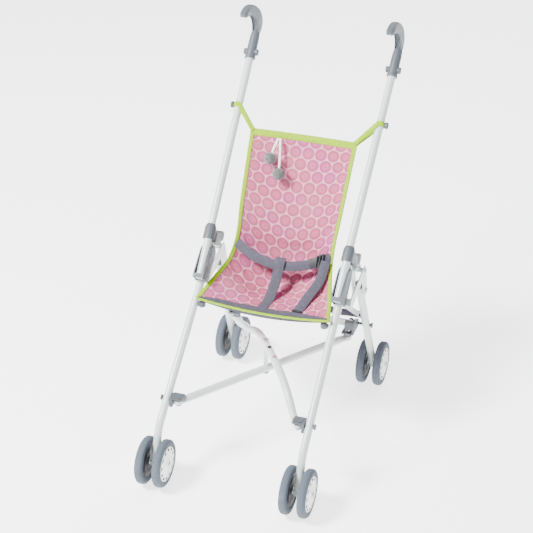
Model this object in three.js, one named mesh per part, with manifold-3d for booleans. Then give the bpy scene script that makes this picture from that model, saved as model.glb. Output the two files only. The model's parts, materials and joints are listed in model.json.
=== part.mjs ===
// A doll stroller of the umbrella-folding kind, in millimetres, +Z up, -Y towards the front.
// Two side frames of tube stand on four pairs of wheels. Crossed tubes, hinged in the middle,
// spread them, and a cloth sling hangs between them. Everything is drawn for the open pushchair.
import * as THREE from "three";
import { mergeVertices } from "three/addons/utils/BufferGeometryUtils.js";
import Module from "manifold-3d";

const wasm = await Module();
wasm.setup();

// ---------- driving dimensions ----------
const wheelRadius = 33.8;
const wheelOffset = 12.9; // from a leg's centre to the middle of each of its two wheels
const wheelWidth = 11.8;
const axleReach = 170.7; // each axle's distance from mid length
const frontHalfTrack = 103.5;
const rearHalfTrack = 112.6;
const tubeRadius = 5.6;
const tubeWall = 1.1;
const gap = 0.35; // between pieces that touch
const handleSlope = THREE.MathUtils.degToRad(45.8); // the handle tube's angle above level
const handleFoot = { x: 100.8, y: 2.3, z: 231 }; // the handle tube's axis at its lower end
const handleToe = 0.0175; // how much the side frame leans out for each mm along the tube
const legOffset = 13; // from the handle tube's axis to the front leg's, side by side
const handleTubeLength = 362;
const hingeX = 107; // rear leg's top
const legHinge = { y: 102, z: 198 };
const bracketHinge = { y: 134.2, z: 121 }; // rear crossbar bracket on the rear leg
const stayBolt = { y: 125.8, z: 141 };
const crossLevel = 105; // height of the crossed tubes' end pins
const crossHalf = 86.4; // sideways from the middle to an end pin
const crossReach = 118.5; // lengthways from the centre pin to an end pin
const crossCentreY = -2;
const crossRadius = 5.5;
const braceLevel = 128;
const pinRadius = 2.2;
const pinHole = 2.7;
const pinSides = 8;
const tubeSides = 10;
const wheelSides = 20;

// ---------- colours ----------
const paint = (color, roughness, metalness = 0) => ({ color, roughness, metalness });
const WHITE = paint(0xf1f4f2, 0.35);
const GREY = paint(0x8a919b, 0.55);
const DARK = paint(0x3f454d, 0.6);
const TYRE = paint(0x8d97a5, 0.8);
const STEEL = paint(0xb9bec4, 0.35, 0.9);
const PINK = paint(0xd98ca4, 0.9);
const LIME = paint(0xd6f02e, 0.85);
const WEBBING = paint(0x80828f, 0.9);
const POMPOM = paint(0x7c8582, 1);
const RIBBON = paint(0xf7f3f4, 0.9);

// ---------- tools ----------
const group = new THREE.Group();

function add(name, geometry, look) {
  const mesh = new THREE.Mesh(geometry, new THREE.MeshStandardMaterial(look));
  mesh.name = name;
  group.add(mesh);
  return mesh;
}

function toSolid(geometry) {
  const bare = geometry.clone();
  bare.deleteAttribute("normal");
  bare.deleteAttribute("uv");
  const merged = mergeVertices(bare, 1e-3);
  return new wasm.Manifold(
    new wasm.Mesh({
      numProp: 3,
      vertProperties: merged.attributes.position.array,
      triVerts: new Uint32Array(merged.index.array),
    }),
  );
}

function toGeometry(solid) {
  const mesh = solid.getMesh();
  const geometry = new THREE.BufferGeometry();
  geometry.setAttribute("position", new THREE.BufferAttribute(mesh.vertProperties, mesh.numProp));
  geometry.setIndex(new THREE.BufferAttribute(mesh.triVerts, 1));
  return geometry;
}

const join = (...pieces) => toGeometry(pieces.map(toSolid).reduce((a, b) => a.add(b)));

const cut = (body, ...cutters) =>
  toGeometry(cutters.map(toSolid).reduce((a, b) => a.subtract(b), toSolid(body)));

// The right-hand piece turned into its left-hand twin.
function mirrored(geometry) {
  const twin = (geometry.index ? geometry : mergeVertices(geometry)).clone();
  twin.scale(-1, 1, 1);
  const index = twin.index.array;
  for (let i = 0; i < index.length; i += 3) {
    [index[i + 1], index[i + 2]] = [index[i + 2], index[i + 1]];
  }
  return twin;
}

// Adds a right-hand piece and its twin.
function addPair(name, geometry, look) {
  add(`right_${name}`, geometry, look);
  add(`left_${name}`, mirrored(geometry), look);
}

const vec = (x, y, z) => new THREE.Vector3(x, y, z);

// A cylinder from one point to another.
function rod(from, to, radius, sides = tubeSides, endRadius = radius) {
  const length = from.distanceTo(to);
  const geometry = new THREE.CylinderGeometry(endRadius, radius, length, sides);
  const turn = new THREE.Quaternion().setFromUnitVectors(
    vec(0, 1, 0),
    to.clone().sub(from).normalize(),
  );
  geometry.applyQuaternion(turn);
  const middle = from.clone().add(to).multiplyScalar(0.5);
  geometry.translate(middle.x, middle.y, middle.z);
  return geometry;
}

const rodX = (x1, x2, at, radius, sides) =>
  rod(vec(x1, at.y, at.z), vec(x2, at.y, at.z), radius, sides);

function block(x1, x2, y1, y2, z1, z2) {
  const geometry = new THREE.BoxGeometry(x2 - x1, y2 - y1, z2 - z1);
  geometry.translate((x1 + x2) / 2, (y1 + y2) / 2, (z1 + z2) / 2);
  return geometry;
}

// A flat plate: an outline in side view (y, z), extruded across from x1 to x2.
function sidePlate(outline, x1, x2) {
  const shape = new THREE.Shape(outline.map((p) => new THREE.Vector2(p.y, p.z)));
  const geometry = new THREE.ExtrudeGeometry(shape, { depth: x2 - x1, bevelEnabled: false });
  geometry.applyMatrix4(new THREE.Matrix4().set(0, 0, 1, x1, 1, 0, 0, 0, 0, 1, 0, 0, 0, 0, 0, 1));
  return geometry;
}

// A route through given points that a section is swept along, one step for each point.
class Route extends THREE.Curve {
  constructor(points) {
    super();
    this.points = points;
  }
  getPoint(t) {
    const place = t * (this.points.length - 1);
    const i = Math.min(Math.floor(place), this.points.length - 2);
    return this.points[i].clone().lerp(this.points[i + 1], place - i);
  }
  getPointAt(u) {
    return this.getPoint(u);
  }
  getTangentAt(u) {
    const last = this.points.length - 1;
    const i = Math.round(u * last);
    const before = this.points[Math.max(i - 1, 0)];
    const here = this.points[i];
    const after = this.points[Math.min(i + 1, last)];
    const ahead = after.clone().sub(here).normalize();
    const behind = here.clone().sub(before).normalize();
    return ahead.add(behind).normalize();
  }
}

function sweep(shape, points) {
  return new THREE.ExtrudeGeometry(shape, {
    steps: points.length - 1,
    extrudePath: new Route(points),
    curveSegments: 4,
  });
}

function roundShape(radius, sides, hole = 0) {
  const ring = (r) =>
    Array.from({ length: sides }, (_, i) => {
      const turn = (i / sides) * 2 * Math.PI;
      return new THREE.Vector2(r * Math.cos(turn), r * Math.sin(turn));
    });
  const shape = new THREE.Shape(ring(radius));
  if (hole > 0) shape.holes.push(new THREE.Path(ring(hole).reverse()));
  return shape;
}

function roundedBox(width, height, corner) {
  const shape = new THREE.Shape();
  const [w, h] = [width / 2, height / 2];
  shape.moveTo(-w + corner, -h);
  shape.lineTo(w - corner, -h);
  shape.lineTo(w, -h + corner);
  shape.lineTo(w, h - corner);
  shape.lineTo(w - corner, h);
  shape.lineTo(-w + corner, h);
  shape.lineTo(-w, h - corner);
  shape.lineTo(-w, -h + corner);
  shape.closePath();
  return shape;
}

const tubeShape = () => roundShape(tubeRadius, tubeSides, tubeRadius - tubeWall);

// Corner points joined by straight runs, each corner rounded by a short bend.
function bentRoute(corners, reach, bendSteps = 4) {
  const route = [corners[0]];
  for (let i = 1; i < corners.length - 1; i++) {
    const here = corners[i];
    const from = here.clone().add(corners[i - 1].clone().sub(here).setLength(reach));
    const to = here.clone().add(corners[i + 1].clone().sub(here).setLength(reach));
    route.push(...new THREE.QuadraticBezierCurve3(from, here, to).getPoints(bendSteps));
  }
  route.push(corners.at(-1));
  return route;
}

// A ring or disc about an axle: profile points are (radius, distance along +X).
function turned(profile, sides, centre) {
  const points = profile.map(([r, x]) => new THREE.Vector2(r, x));
  const geometry = new THREE.LatheGeometry([...points, points[0]], sides);
  geometry.rotateZ(-Math.PI / 2);
  geometry.translate(centre.x, centre.y, centre.z);
  return geometry;
}

// ---------- the handle tube's own axes ----------
// A point `along` the handle tube from its foot and `back` from its axis, square to the tube.
const alongY = Math.cos(handleSlope);
const alongZ = Math.sin(handleSlope);
function onHandle(along, back, x = handleFoot.x + handleToe * along) {
  const y = handleFoot.y + along * alongY + back * alongZ;
  const z = handleFoot.z + along * alongZ - back * alongY;
  return vec(x, y, z);
}

// ---------- side frame: handle, tube, cap, channel ----------
const sleeveStart = 336; // along the tube, where the handle's sleeve begins
const sleeveLength = 38;
const hookHalf = 5.5; // half the hook's width, sideways

addPair(
  "handle_tube",
  sweep(tubeShape(), [onHandle(0.5, 0), onHandle(handleTubeLength, 0)]),
  WHITE,
);

// The hook is a thick crescent: thin at the tip over the front, thick where it meets the sleeve.
function makeHandle() {
  const x = onHandle(sleeveStart + 30, 0).x;
  const sleeveEnd = sleeveStart + sleeveLength;
  const upperEdge = new THREE.SplineCurve([
    new THREE.Vector2(208.5, 549),
    new THREE.Vector2(218, 554),
    new THREE.Vector2(232, 555.2),
    new THREE.Vector2(260, 545),
    new THREE.Vector2(280, 529),
    new THREE.Vector2(286, 513),
    new THREE.Vector2(281, 503.5),
    new THREE.Vector2(272, 499),
  ]);
  const lowerEdge = new THREE.SplineCurve([
    new THREE.Vector2(262, 504.5),
    new THREE.Vector2(260.5, 518.5),
    new THREE.Vector2(250.3, 532),
    new THREE.Vector2(229, 540.5),
    new THREE.Vector2(211, 543.5),
  ]);
  const edges = [...upperEdge.getPoints(14), ...lowerEdge.getPoints(8)];
  const outline = edges.map((p) => ({ y: p.x, z: p.y }));
  const neck = [
    onHandle(sleeveEnd - 8, 5.3),
    onHandle(sleeveEnd - 8, -5.3),
    onHandle(sleeveEnd + 7, -5),
    onHandle(sleeveEnd + 7, 6.5),
  ];
  const hook = sidePlate(outline, x - hookHalf, x + hookHalf);
  const root = sidePlate(neck, x - hookHalf, x + hookHalf);
  const sleeve = rod(onHandle(sleeveStart, 0), onHandle(sleeveEnd, 0), 7.6, 12, 7);
  const screw = onHandle(sleeveStart + 11, 0);
  const screwBoss = rodX(screw.x - 11, screw.x + 11, screw, 4.8);
  const bore = rod(
    onHandle(sleeveStart - 2, 0),
    onHandle(handleTubeLength + gap, 0),
    tubeRadius + gap,
  );
  return cut(join(hook, root, sleeve, screwBoss), bore);
}
addPair("handle", makeHandle(), GREY);

const capStart = 59; // along the tube
const lobe = { y: 84, z: 258 };

function makeHingeCap() {
  const x = onHandle(capStart, 0).x;
  const collar = rod(onHandle(capStart, 0), onHandle(capStart + 17, 0), 8.4, 12);
  const dome = rod(onHandle(capStart + 17, 0), onHandle(capStart + 22, 0), 8.4, 12, 6.4);
  const bridge = sidePlate(
    [
      onHandle(capStart, 0),
      onHandle(capStart + 16, 0),
      onHandle(capStart + 15, 24),
      onHandle(capStart + 12, 36),
      onHandle(capStart + 2, 36),
    ],
    x - 6.5,
    x + 8.3,
  );
  const legSocket = rod(onHandle(capStart - 1, legOffset), onHandle(capStart + 14, legOffset), 8.2, 12);
  const ear = rodX(x - 6.5, x + 8.3, lobe, 7.4, 12);
  const tubeBore = rod(onHandle(capStart - 3, 0), onHandle(capStart + 25, 0), tubeRadius + gap);
  const legBore = rod(
    onHandle(capStart - 3, legOffset),
    onHandle(capStart + 9, legOffset),
    tubeRadius + gap,
  );
  return cut(join(collar, dome, bridge, legSocket, ear), tubeBore, legBore);
}
addPair("hinge_cap", makeHingeCap(), GREY);

const channelHalf = 8; // half its width across the tubes
function makeChannel() {
  const x = handleFoot.x + 0.4;
  const outline = [
    onHandle(0, -7.2),
    onHandle(0, 21),
    onHandle(43, 21),
    onHandle(52, 15),
    onHandle(52, 5),
    onHandle(44, -2),
    onHandle(8, -7.2),
  ];
  const inside = [onHandle(-3, -12), onHandle(-3, 19.4), onHandle(56, 19.4), onHandle(56, -12)];
  const shell = cut(
    sidePlate(outline, x - channelHalf, x + channelHalf),
    sidePlate(inside, x - tubeRadius - gap - 0.3, x + tubeRadius + gap + 0.3),
  );
  const lip = sidePlate(
    [onHandle(0, -7.2), onHandle(0, -6.1), onHandle(6, -6.1), onHandle(6, -7.2)],
    x - channelHalf,
    x + channelHalf,
  );
  return join(shell, lip);
}
addPair("hinge_channel", makeChannel(), GREY);

// ---------- legs ----------
const armInner = hingeX - 7.9; // inner face of the rear arm's inner plate
const armOuter = hingeX + 6.9;
const armPlate = 1.5;
const legBend = { y: -153, z: 81.5 };
const frontBolt = { y: -122, z: 108 };

function makeFrontLeg() {
  const corners = [
    onHandle(capStart + 8.6, legOffset),
    onHandle(3, legOffset, 101.4),
    vec(103.3, legBend.y, legBend.z),
    vec(frontHalfTrack, -axleReach - 1.9, wheelRadius - 5),
  ];
  const tube = sweep(tubeShape(), bentRoute(corners, 9, 2));
  const axleHole = rodX(90, 120, { y: -axleReach, z: wheelRadius }, pinHole, pinSides);
  const boltHole = rodX(90, 120, frontBolt, pinHole, pinSides);
  return cut(tube, axleHole, boltHole);
}
addPair("front_leg", makeFrontLeg(), WHITE);

// A point on the rear leg's axis at a height.
function onRearLeg(z) {
  const share = (legHinge.z - z) / (legHinge.z - wheelRadius);
  const x = hingeX + share * (rearHalfTrack - hingeX);
  return vec(x, legHinge.y + share * (axleReach - legHinge.y), z);
}

function makeRearLeg() {
  const tube = sweep(tubeShape(), [onRearLeg(204), onRearLeg(wheelRadius - 6)]);
  const holes = [
    rodX(95, 125, legHinge, pinHole, pinSides),
    rodX(95, 125, bracketHinge, pinHole, pinSides),
    rodX(95, 125, { y: axleReach, z: wheelRadius }, pinHole, pinSides),
  ];
  const stud = rodX(armInner - 0.4, hingeX - 2, stayBolt, 2, pinSides);
  const studHead = rodX(armInner - 1.7, armInner, stayBolt, 3.8, pinSides);
  return join(cut(tube, ...holes), stud, studHead);
}
addPair("rear_leg", makeRearLeg(), WHITE);

addPair("rear_leg_cap", rod(onRearLeg(204.6), onRearLeg(213), 5.9, 10, 5.2), GREY);

// ---------- arm that carries the rear leg's hinge ----------
const stayPin = onHandle(8, 29.5);

function makeRearArm() {
  const outline = [
    onHandle(2, 21.4),
    vec(0, 30, 208.5),
    vec(0, 84, 224),
    vec(0, 94, 193),
    vec(0, 100, 189),
    vec(0, 107, 191),
    vec(0, 110, 198),
    vec(0, 101, 236),
    vec(0, 96, 241.5),
    vec(0, 89, 241.5),
    onHandle(14, 21.4),
  ];
  const web = [onHandle(3, 21.4), onHandle(3, 23), onHandle(13, 23), onHandle(13, 21.4)];
  return join(
    sidePlate(outline, armInner - armPlate, armInner),
    sidePlate(outline, armOuter, armOuter + armPlate),
    sidePlate(web, armInner - armPlate, armOuter + armPlate),
    rodX(armInner - 1, armOuter + armPlate + 1.8, { y: 95, z: 234 }, 3.4),
    rodX(armInner - armPlate - 1.5, armOuter + armPlate + 2, legHinge, pinRadius, pinSides),
    rodX(armOuter + armPlate - 0.2, armOuter + armPlate + 2, legHinge, 4),
    rodX(armInner - 1, armInner + 6, stayPin, 2, pinSides),
    rod(vec(hingeX - 1.5, 95, 234), vec(hingeX - 2.5, 87.6, 249.7), 4.6),
  );
}
addPair("rear_arm", makeRearArm(), WHITE);

// A flat stay from the arm's pin to the stud on the rear leg, which slides in its end slot.
const stayTravel = 16.5;
function makeStay() {
  const run = vec(0, stayBolt.y - stayPin.y, stayBolt.z - stayPin.z);
  const length = run.length();
  const dir = run.clone().normalize();
  const side = vec(0, dir.z, -dir.y);
  const place = (s, w) =>
    vec(0, stayPin.y + dir.y * s + side.y * w, stayPin.z + dir.z * s + side.z * w);
  const outline = [];
  const end = length + stayTravel + 5.5;
  const halfWidth = 4;
  for (let i = 0; i <= 6; i++) {
    const turn = Math.PI / 2 + (i / 6) * Math.PI;
    outline.push(place(halfWidth * Math.cos(turn), halfWidth * Math.sin(turn)));
  }
  outline.push(place(end - 3, -halfWidth), place(end, -1.5));
  outline.push(place(end, 1.5), place(end - 3, halfWidth));
  const x1 = armInner + 0.3;
  const plate = sidePlate(outline, x1, x1 + 1.4);
  const slotHalf = 2.5;
  const slot = [
    place(length - slotHalf, -slotHalf),
    place(length + stayTravel, -slotHalf),
    place(length + stayTravel, slotHalf),
    place(length - slotHalf, slotHalf),
  ];
  return cut(plate, rodX(90, 110, stayPin, 2.5, pinSides), sidePlate(slot, 90, 110));
}
addPair("stay", makeStay(), STEEL);

// ---------- crossed tubes and their brackets ----------
const frontPin = { x: crossHalf, y: crossCentreY - crossReach };
const rearPin = { x: crossHalf, y: crossCentreY + crossReach };
const hoodLow = crossLevel + crossRadius + 0.6; // underside of a bracket's hood
const hoodThick = 2.4;
const rearHoodLow = hoodLow + 2.5; // room for the tube's end to rise as the frame folds

function makeFrontBracket() {
  const { x, y } = frontPin;
  const cheek = block(x + 6.9, 97.2, frontBolt.y - 7, frontBolt.y + 8, 99, hoodLow + hoodThick);
  const hood = block(x - 6.6, 96, y - 7.5, y + 8.5, hoodLow, hoodLow + hoodThick);
  const nose = rod(vec(x, y, hoodLow), vec(x, y, hoodLow + hoodThick + 0.8), 7.4, 10);
  const pin = rod(vec(x, y, hoodLow + 1), vec(x, y, crossLevel - 5), pinRadius, pinSides);
  const pinHead = rod(vec(x, y, crossLevel - 3.8), vec(x, y, crossLevel - 5.6), 4);
  const shaft = rodX(96, 110.5, frontBolt, pinRadius, pinSides);
  const head = rodX(109.6, 111.8, frontBolt, 4);
  return join(cheek, hood, nose, pin, pinHead, shaft, head);
}
addPair("front_bracket", makeFrontBracket(), GREY);

const bracePinX = 89;
const braceFront = 117; // front face of the front brace half
const braceThick = 4.2;

function makeRearBracket() {
  const { x, y } = rearPin;
  const cheekOuter = armInner - 2.1; // clear of the stay and its stud
  const slotEnd = y + 7; // the crossed tube's pin moves back and forth in this slot
  const cheek = sidePlate(
    [
      { y: y - 8, z: rearHoodLow },
      { y: bracketHinge.y + 2, z: rearHoodLow },
      { y: bracketHinge.y + 6, z: bracketHinge.z - 4 },
      { y: bracketHinge.y + 4, z: bracketHinge.z + 5 },
      { y: 122, z: 134 },
      { y: y - 8, z: 134 },
    ],
    x + 8.4,
    cheekOuter,
  );
  const hood = block(x - 7.2, cheekOuter, y - 8, y + 14, rearHoodLow, rearHoodLow + hoodThick);
  const slotTop = rearHoodLow + hoodThick + 1;
  const slot = block(x - 2.8, x + 2.8, y - 2.8, slotEnd + 2.8, rearHoodLow - 1, slotTop);
  const lug = block(bracePinX - 5.5, cheekOuter, y - 8, braceFront - gap, braceLevel - 6, braceLevel + 6);
  const pin = rod(
    vec(bracePinX, y - 4, braceLevel),
    vec(bracePinX, braceFront + 2 * braceThick + 2.6, braceLevel),
    pinRadius,
    pinSides,
  );
  const pinHead = rod(
    vec(bracePinX, braceFront + 2 * braceThick + 1.2, braceLevel),
    vec(bracePinX, braceFront + 2 * braceThick + 3, braceLevel),
    4,
    12,
  );
  const shaft = rodX(cheekOuter - 1, 118, bracketHinge, pinRadius, pinSides);
  const head = rodX(117.2, 119.4, bracketHinge, 4);
  return join(cut(join(cheek, hood), slot), lug, pin, pinHead, shaft, head);
}
addPair("rear_bracket", makeRearBracket(), GREY);

// Both crossed tubes run from a front bracket to the opposite rear bracket.
const crossLength = 2 * Math.hypot(crossHalf, crossReach);
const crossRise = 41; // how high the upper tube arches over the lower one, at the centre rivet
const crossTop = crossLevel + crossRise;

// A tube that runs `sideways` from front to back. `rises` lists how far it stands above its
// ends' level, as (share of the way from front to back, rise).
function makeCrossTube(sideways, rises) {
  const at = (share, z) =>
    vec(
      sideways * crossHalf * (1 - 2 * share),
      crossCentreY - crossReach + 2 * crossReach * share,
      z,
    );
  const endInset = 5 / crossLength;
  const ends = [at(endInset, crossLevel), at(1 - endInset, crossLevel)];
  const passed = rises.map(([share, rise]) => at(share, crossLevel + rise));
  const line = new THREE.CatmullRomCurve3([ends[0], ...passed, ends[1]], false, "centripetal");
  const route = rises.length > 0 ? line.getPoints(24) : ends;
  const tube = sweep(roundShape(crossRadius, 8, crossRadius - 1), route);
  const padHalf = 3;
  const pads = [0, 1].map((share) =>
    rod(at(share, crossLevel - padHalf), at(share, crossLevel + padHalf), 6.3, 10),
  );
  const upright = (p) => rod(vec(p.x, p.y, 80), vec(p.x, p.y, 170), pinHole, pinSides);
  const holes = [upright(at(0, 0)), upright(at(0.5, 0))];
  const rearStub = rod(at(1, crossLevel), at(1, rearHoodLow + hoodThick + 1.6), pinRadius, pinSides);
  return join(cut(join(tube, ...pads), ...holes), rearStub);
}
add("cross_tube_lower", makeCrossTube(-1, []), WHITE);
add(
  "cross_tube_upper",
  makeCrossTube(1, [
    [0.055, 0],
    [0.14, 18],
    [0.22, 30],
    [0.33, 38],
    [0.5, crossRise],
    [0.6, 40],
    [0.68, 32],
    [0.77, 18.5],
    [0.87, 8],
    [0.945, 0],
  ]),
  WHITE,
);

function makeCentreRivet() {
  const at = (z) => vec(0, crossCentreY, z);
  const low = crossLevel - crossRadius;
  const high = crossTop + crossRadius;
  return join(
    rod(at(low - 1.6), at(high + 1.6), pinRadius, pinSides),
    rod(at(low - 2), at(low - gap), 4.4),
    rod(at(high + gap), at(high + 2), 4.4),
    rod(at(crossLevel + crossRadius + gap), at(crossTop - crossRadius - gap), 3.3),
  );
}
add("centre_rivet", makeCentreRivet(), STEEL);

// ---------- folding brace between the rear legs ----------
function makeBraceHalf(layer) {
  const y1 = braceFront + layer * (braceThick + gap);
  const y2 = y1 + braceThick;
  const bar = block(4, bracePinX, y1, y2, braceLevel - 4.6, braceLevel + 4.6);
  const along = (x, r, from, to) =>
    rod(vec(x, from, braceLevel), vec(x, to, braceLevel), r, 12);
  const knuckle = along(0, 6.4, y1, y2);
  const neck = block(0, 6, y1, y2, braceLevel - 4.6, braceLevel + 4.6);
  const eye = along(bracePinX, 5.4, y1, y2);
  const boss = layer === 0 ? along(0, 3.6, y1 - 1.8, y1 + 1) : along(0, 3.6, y2 - 1, y2 + 1.8);
  return cut(join(bar, neck, knuckle, eye, boss), along(bracePinX, pinHole, 100, 140));
}
add("right_brace", makeBraceHalf(0), WHITE);
add("left_brace", mirrored(makeBraceHalf(1)), WHITE);

// ---------- wheels and axles ----------
function makeAxle(leg) {
  const reach = wheelOffset + wheelWidth / 2 + 2.4;
  const shaft = rodX(leg.x - reach - 1, leg.x + reach + 1, leg, pinRadius, pinSides);
  const heads = [-1, 1].map((side) =>
    rodX(leg.x + side * reach, leg.x + side * (reach + 1.6), leg, 4),
  );
  return join(shaft, ...heads);
}

// Profiles for a wheel whose outer face looks along +X.
const half = wheelWidth / 2;
const hubProfile = [
  [pinHole, -half],
  [5, -half],
  [5.5, half - 5.5],
  [24.4, -half + 1.5],
  [24.4, half - 0.8],
  [pinHole, half + 2],
];
const tyreProfile = [
  [24.85, -half + 0.6],
  [31, -half],
  [wheelRadius, -half + 2.6],
  [wheelRadius, half - 2.6],
  [31, half],
  [24.85, half - 0.6],
];

// Each wheel is turned by half a side and made a little larger, so that it rests on a flat.
const wheelTurn = Math.PI / wheelSides;
function addWheel(name, leg, side) {
  const place = (profile) => {
    const geometry = turned(profile, wheelSides, vec(0, 0, 0));
    geometry.rotateX(wheelTurn);
    geometry.scale(1, 1 / Math.cos(wheelTurn), 1 / Math.cos(wheelTurn));
    const facing = side > 0 ? geometry : mirrored(geometry);
    facing.translate(leg.x + side * wheelOffset, leg.y, leg.z);
    return facing;
  };
  add(`${name}_hub`, place(hubProfile), WHITE);
  add(`${name}_tyre`, place(tyreProfile), TYRE);
}

for (const [end, halfTrack, y] of [
  ["front", frontHalfTrack, -axleReach],
  ["rear", rearHalfTrack, axleReach],
]) {
  for (const [hand, sign] of [
    ["right", 1],
    ["left", -1],
  ]) {
    const leg = vec(sign * halfTrack, y, wheelRadius);
    add(`${hand}_${end}_axle`, makeAxle(leg), STEEL);
    addWheel(`${hand}_${end}_outer`, leg, sign);
    addWheel(`${hand}_${end}_inner`, leg, -sign);
  }
}

// ---------- cloth sling ----------
// Half width, length and height of the sling's edge, and the same for its middle line.
const slingEdge = [
  vec(97, -20, 212.5),
  vec(88, 18, 224),
  vec(76.5, 58, 240),
  vec(72.5, 80, 265),
  vec(75, 108, 311),
  vec(78.5, 164, 396),
];
const slingMiddle = [
  vec(0, -22, 207),
  vec(0, 20, 205),
  vec(0, 64, 207),
  vec(0, 92, 232),
  vec(0, 112, 290),
  vec(0, 166, 396),
];
const edgeLine = new THREE.CatmullRomCurve3(slingEdge, false, "centripetal");
const middleLine = new THREE.CatmullRomCurve3(slingMiddle, false, "centripetal");

// A point of the sling: `across` from -1 to 1, `up` from 0 at the front edge to 1 at the top.
function onSling(across, up, lift = 0) {
  const surface = (a, u) => {
    const edge = edgeLine.getPoint(THREE.MathUtils.clamp(u, 0, 1));
    const middle = middleLine.getPoint(THREE.MathUtils.clamp(u, 0, 1));
    const share = a * a;
    return vec(
      a * edge.x,
      middle.y + (edge.y - middle.y) * share,
      middle.z + (edge.z - middle.z) * share,
    );
  };
  const point = surface(across, up);
  const stepUp = surface(across, Math.min(up + 0.01, 1)).sub(surface(across, Math.max(up - 0.01, 0)));
  const stepAcross = surface(across + 0.02, up).sub(surface(across - 0.02, up));
  const normal = stepAcross.cross(stepUp).normalize();
  return point.addScaledVector(normal, lift);
}

// A thin pad laid on or over a surface: `where(across, up, lift)` with across and up from 0 to 1.
function draped(where, thickness, acrossSteps, upSteps) {
  const geometry = new THREE.BoxGeometry(1, 1, 1, acrossSteps, upSteps, 1);
  const position = geometry.attributes.position;
  for (let i = 0; i < position.count; i++) {
    const point = where(
      position.getX(i) + 0.5,
      position.getY(i) + 0.5,
      position.getZ(i) * thickness,
    );
    position.setXYZ(i, point.x, point.y, point.z);
  }
  return geometry;
}

add("seat_sling", draped((a, u, lift) => onSling(2 * a - 1, u, lift), 2, 8, 12), PINK);

const webWidth = 14;
const beltEnd = onSling(0.96, 0.56, 3);
const beltMiddle = vec(0, 62, 240);

// The belt hangs in a shallow curve from one edge of the sling to the other.
function onBelt(across, width, lift) {
  const share = (2 * across - 1) ** 2;
  const out = vec(0, -0.86, 0.51).multiplyScalar(lift);
  const up = vec(0, 0.51, 0.86).multiplyScalar((width - 0.5) * webWidth);
  const x = (2 * across - 1) * beltEnd.x;
  const y = beltMiddle.y + (beltEnd.y - beltMiddle.y) * share;
  const z = beltMiddle.z + (beltEnd.z - beltMiddle.z) * share;
  return vec(x, y, z).add(out).add(up);
}

function makeHarness() {
  const belt = draped((a, w, lift) => onBelt(a, w, lift), 1.4, 8, 1);
  const crotchRoute = new THREE.CatmullRomCurve3([
    vec(0, 64.5, 247),
    vec(0, 58, 234),
    vec(-2, 44, 218),
    vec(-5, 22, 209.5),
    vec(-7, -8, 209.5),
  ]);
  const crotch = draped(
    (a, u, lift) => {
      const here = crotchRoute.getPoint(1 - u);
      const along = crotchRoute.getTangent(1 - u);
      const normal = vec(0, along.z, -along.y).normalize();
      return here.addScaledVector(normal, lift).add(vec((a - 0.5) * webWidth, 0, 0));
    },
    1.4,
    1,
    8,
  );
  return join(belt, crotch);
}
add("harness", makeHarness(), WEBBING);

// The buckle sits on the belt near its right-hand end.
function makeBuckle() {
  const share = 0.86;
  const centre = onBelt(share, 0.5, 4);
  const body = new THREE.BoxGeometry(9, 18, 4);
  body.rotateX(Math.atan2(0.86, 0.51));
  body.translate(centre.x, centre.y, centre.z);
  return body;
}
add("buckle", makeBuckle(), DARK);

// Loose end of the belt, hanging from the right edge onto the seat.
function makeBeltTail() {
  const route = new THREE.CatmullRomCurve3([
    onBelt(0.97, 0.2, 6),
    vec(62, 44, 232),
    vec(54, 22, 219.5),
    vec(48, 4, 214.5),
  ]);
  return draped(
    (a, u, lift) => {
      const here = route.getPoint(1 - u);
      const along = route.getTangent(1 - u);
      const side = vec(1, 0.25, 0.1).normalize();
      const normal = along.clone().cross(side).normalize();
      return here.addScaledVector(normal, lift).addScaledVector(side, (a - 0.5) * webWidth);
    },
    1.4,
    1,
    6,
  );
}
add("belt_tail", makeBeltTail(), WEBBING);

// Pull band between the rear legs, above the brace.
add("rear_band", block(-98.5, 98.5, 143, 144.2, 124, 136), WEBBING);

// Loops that tie the sling's top corners to the handle tubes.
function makeTopLoop() {
  const along = 261;
  const ringLow = onHandle(along - 3.5, 0);
  const ring = rod(ringLow, onHandle(along + 3.5, 0), tubeRadius + 2.2);
  const bore = rod(onHandle(along - 9, 0), onHandle(along + 9, 0), tubeRadius + gap);
  const corner = vec(80, 165.5, 397);
  const tie = vec(onHandle(along, 0).x - tubeRadius - 0.5, ringLow.y + 1.5, ringLow.z + 2.5);
  return cut(join(ring, sweep(roundedBox(2, 7, 0.6), [tie, corner])), bore);
}
addPair("top_loop", makeTopLoop(), LIME);

// Plastic clips that hold the sling's front corners to the front legs.
function makeFrontClip() {
  const knob = rod(vec(89.4, -17.2, 199.5), vec(89.4, -17.2, 206), 5, 10);
  const tongue = block(89, 95.6, -21, -13.4, 200.5, 204.5);
  return join(knob, tongue);
}
addPair("front_clip", makeFrontClip(), GREY);

// Two pompoms on ribbons that hang from the top hem over the front of the back.
const pompomRadius = 9;
const ribbonStart = vec(-34.4, 157.8, 390);
for (const [name, centre] of [
  ["long", vec(-25.3, 127.2, 348.9)],
  ["short", vec(-41, 136.2, 367)],
]) {
  const ball = new THREE.IcosahedronGeometry(pompomRadius, 1);
  ball.translate(centre.x, centre.y, centre.z);
  add(`${name}_pompom`, ball, POMPOM);
  const sideStep = name === "long" ? 1.6 : -1.6;
  const start = ribbonStart.clone().add(vec(sideStep, 0, 0));
  const end = start.clone().sub(centre).setLength(pompomRadius + gap).add(centre);
  add(`${name}_ribbon`, sweep(roundShape(1.3, 8), [start, end]), RIBBON);
}

// ---------- origin: on the ground, in the middle of the footprint ----------
const box = new THREE.Box3().setFromObject(group);
for (const mesh of group.children) {
  mesh.position.set(0, -(box.min.y + box.max.y) / 2, 0);
}

export default group;
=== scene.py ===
# Looks of a doll's umbrella stroller: a cloth sling between two folding side frames of tube.
# Everything is in metres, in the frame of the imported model: +X right, -Y front, +Z up.
import json
import math

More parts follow.
